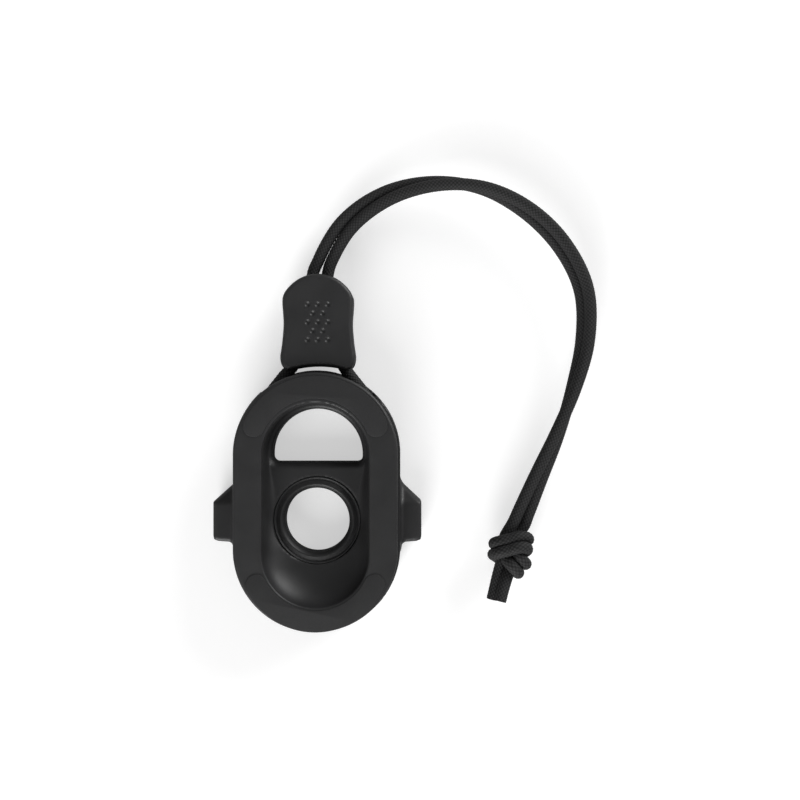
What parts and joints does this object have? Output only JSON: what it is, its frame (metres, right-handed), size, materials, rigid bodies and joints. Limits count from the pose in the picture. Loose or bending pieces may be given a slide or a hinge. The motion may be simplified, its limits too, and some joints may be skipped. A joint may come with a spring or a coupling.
{
  "type": "strap jack lock",
  "caption": "Stadium-shaped two-shell lock with a soft jack bore, D-shaped cable opening, finger wings and a doubled elastic cord with a cinch slider and end knot.",
  "frame": {"origin": "on the flat back face, on the part's middle line, in the middle of the bridge between the jack bore and the cable opening", "axes": "+Z out of the front face, +Y from the bore towards the slider, +X to the right seen from the front"},
  "size_m": [0.0923, 0.1095, 0.0132],
  "materials": {
    "shell_plastic": "fine-textured matte black moulding",
    "pad_elastomer": "soft overmould, dead matte",
    "collar_elastomer": "smooth black elastomer",
    "cord_braid": "black braided sheath over an elastic core",
    "screw_steel": "black-coated steel"
  },
  "bodies": {
    "housing": {"face_shell": "shell_plastic", "base_shell": "shell_plastic", "upper_grip_pad": "pad_elastomer", "lower_grip_pad": "pad_elastomer", "jack_collar": "collar_elastomer", "cord_loop": "cord_braid", "housing_screw_top": "screw_steel", "housing_screw_left": "screw_steel", "housing_screw_right": "screw_steel"},
    "neck": {"neck_strand_left": "cord_braid", "neck_strand_right": "cord_braid"},
    "slider": {"slider_front": "shell_plastic", "slider_back": "shell_plastic", "slider_grip_wedge": "shell_plastic", "throat_strand_left": "cord_braid", "throat_strand_right": "cord_braid"},
    "tail_01": {"cord_tail_01": "cord_braid"},
    "tail_02": {"cord_tail_02": "cord_braid"},
    "tail_03": {"cord_tail_03": "cord_braid"},
    "tail_04": {"cord_tail_04": "cord_braid"},
    "tail_05": {"cord_tail_05": "cord_braid"},
    "tail_06": {"cord_tail_06": "cord_braid"},
    "tail_07": {"cord_tail_07": "cord_braid"},
    "tail_08": {"cord_tail_08": "cord_braid"},
    "tail_09": {"cord_tail_09": "cord_braid"},
    "tail_10": {"cord_tail_10": "cord_braid"},
    "tail_11": {"cord_tail_11": "cord_braid"},
    "tail_12": {"cord_tail_12": "cord_braid", "overhand_knot": "cord_braid", "cut_end_left": "cord_braid", "cut_end_right": "cord_braid"}
  },
  "joints": [
    {"name": "neck_fold", "type": "hinge", "parent": "housing", "child": "neck", "pos_m": [0, 0.02385, 0.0065], "axis": [1, 0, 0], "range_deg": [-7, 7]},
    {"name": "slider_slide", "type": "slide", "parent": "neck", "child": "slider", "axis": [0, 1, 0], "range_m": [-0.0003, 0.006]},
    {"name": "tail_curl", "type": "hinge", "parent": "slider", "child": "tail_01", "pos_m": [0.00118, 0.05024, 0.0065], "axis": [0, 0, -1], "range_deg": [-30, 2]},
    {"name": "tail_lift", "type": "hinge", "parent": "tail_01", "child": "tail_02", "pos_m": [0.00699, 0.06049, 0.0065], "axis": [0.7368, -0.6761, 0], "range_deg": [-15, 15]},
    {"name": "tail_curl_2", "type": "hinge", "parent": "tail_02", "child": "tail_03", "pos_m": [0.01657, 0.06752, 0.0065], "axis": [0, 0, -1], "range_deg": [-30, 2]},
    {"name": "tail_lift_2", "type": "hinge", "parent": "tail_03", "child": "tail_04", "pos_m": [0.02803, 0.07053, 0.0065], "axis": [0.0652, -0.9979, 0], "range_deg": [-15, 15]},
    {"name": "tail_curl_3", "type": "hinge", "parent": "tail_04", "child": "tail_05", "pos_m": [0.03989, 0.06953, 0.0065], "axis": [0, 0, -1], "range_deg": [-30, 2]},
    {"name": "tail_lift_3", "type": "hinge", "parent": "tail_05", "child": "tail_06", "pos_m": [0.05049, 0.06419, 0.0065], "axis": [-0.6025, -0.7981, 0], "range_deg": [-15, 15]},
    {"name": "tail_curl_4", "type": "hinge", "parent": "tail_06", "child": "tail_07", "pos_m": [0.05894, 0.0558, 0.0065], "axis": [0, 0, -1], "range_deg": [-30, 2]},
    {"name": "tail_lift_4", "type": "hinge", "parent": "tail_07", "child": "tail_08", "pos_m": [0.06418, 0.04518, 0.0065], "axis": [-0.9785, -0.2062, 0], "range_deg": [-15, 15]},
    {"name": "tail_curl_5", "type": "hinge", "parent": "tail_08", "child": "tail_09", "pos_m": [0.06458, 0.03329, 0.0065], "axis": [0, 0, -1], "range_deg": [-30, 2]},
    {"name": "tail_lift_5", "type": "hinge", "parent": "tail_09", "child": "tail_10", "pos_m": [0.0619, 0.02167, 0.0065], "axis": [-0.9539, 0.3001, 0], "range_deg": [-15, 15]},
    {"name": "tail_curl_6", "type": "hinge", "parent": "tail_10", "child": "tail_11", "pos_m": [0.05788, 0.01043, 0.0065], "axis": [0, 0, -1], "range_deg": [-30, 2]},
    {"name": "tail_lift_6", "type": "hinge", "parent": "tail_11", "child": "tail_12", "pos_m": [0.05311, -0.00052, 0.0065], "axis": [-0.9127, 0.4087, 0], "range_deg": [-15, 15]}
  ],
  "couplings": [
    {"joint": "tail_curl_2", "follows": "tail_curl", "ratio": 1},
    {"joint": "tail_lift_2", "follows": "tail_lift", "ratio": 1},
    {"joint": "tail_curl_3", "follows": "tail_curl", "ratio": 1},
    {"joint": "tail_lift_3", "follows": "tail_lift", "ratio": 1},
    {"joint": "tail_curl_4", "follows": "tail_curl", "ratio": 1},
    {"joint": "tail_lift_4", "follows": "tail_lift", "ratio": 1},
    {"joint": "tail_curl_5", "follows": "tail_curl", "ratio": 1},
    {"joint": "tail_lift_5", "follows": "tail_lift", "ratio": 1},
    {"joint": "tail_curl_6", "follows": "tail_curl", "ratio": 1},
    {"joint": "tail_lift_6", "follows": "tail_lift", "ratio": 1}
  ]
}
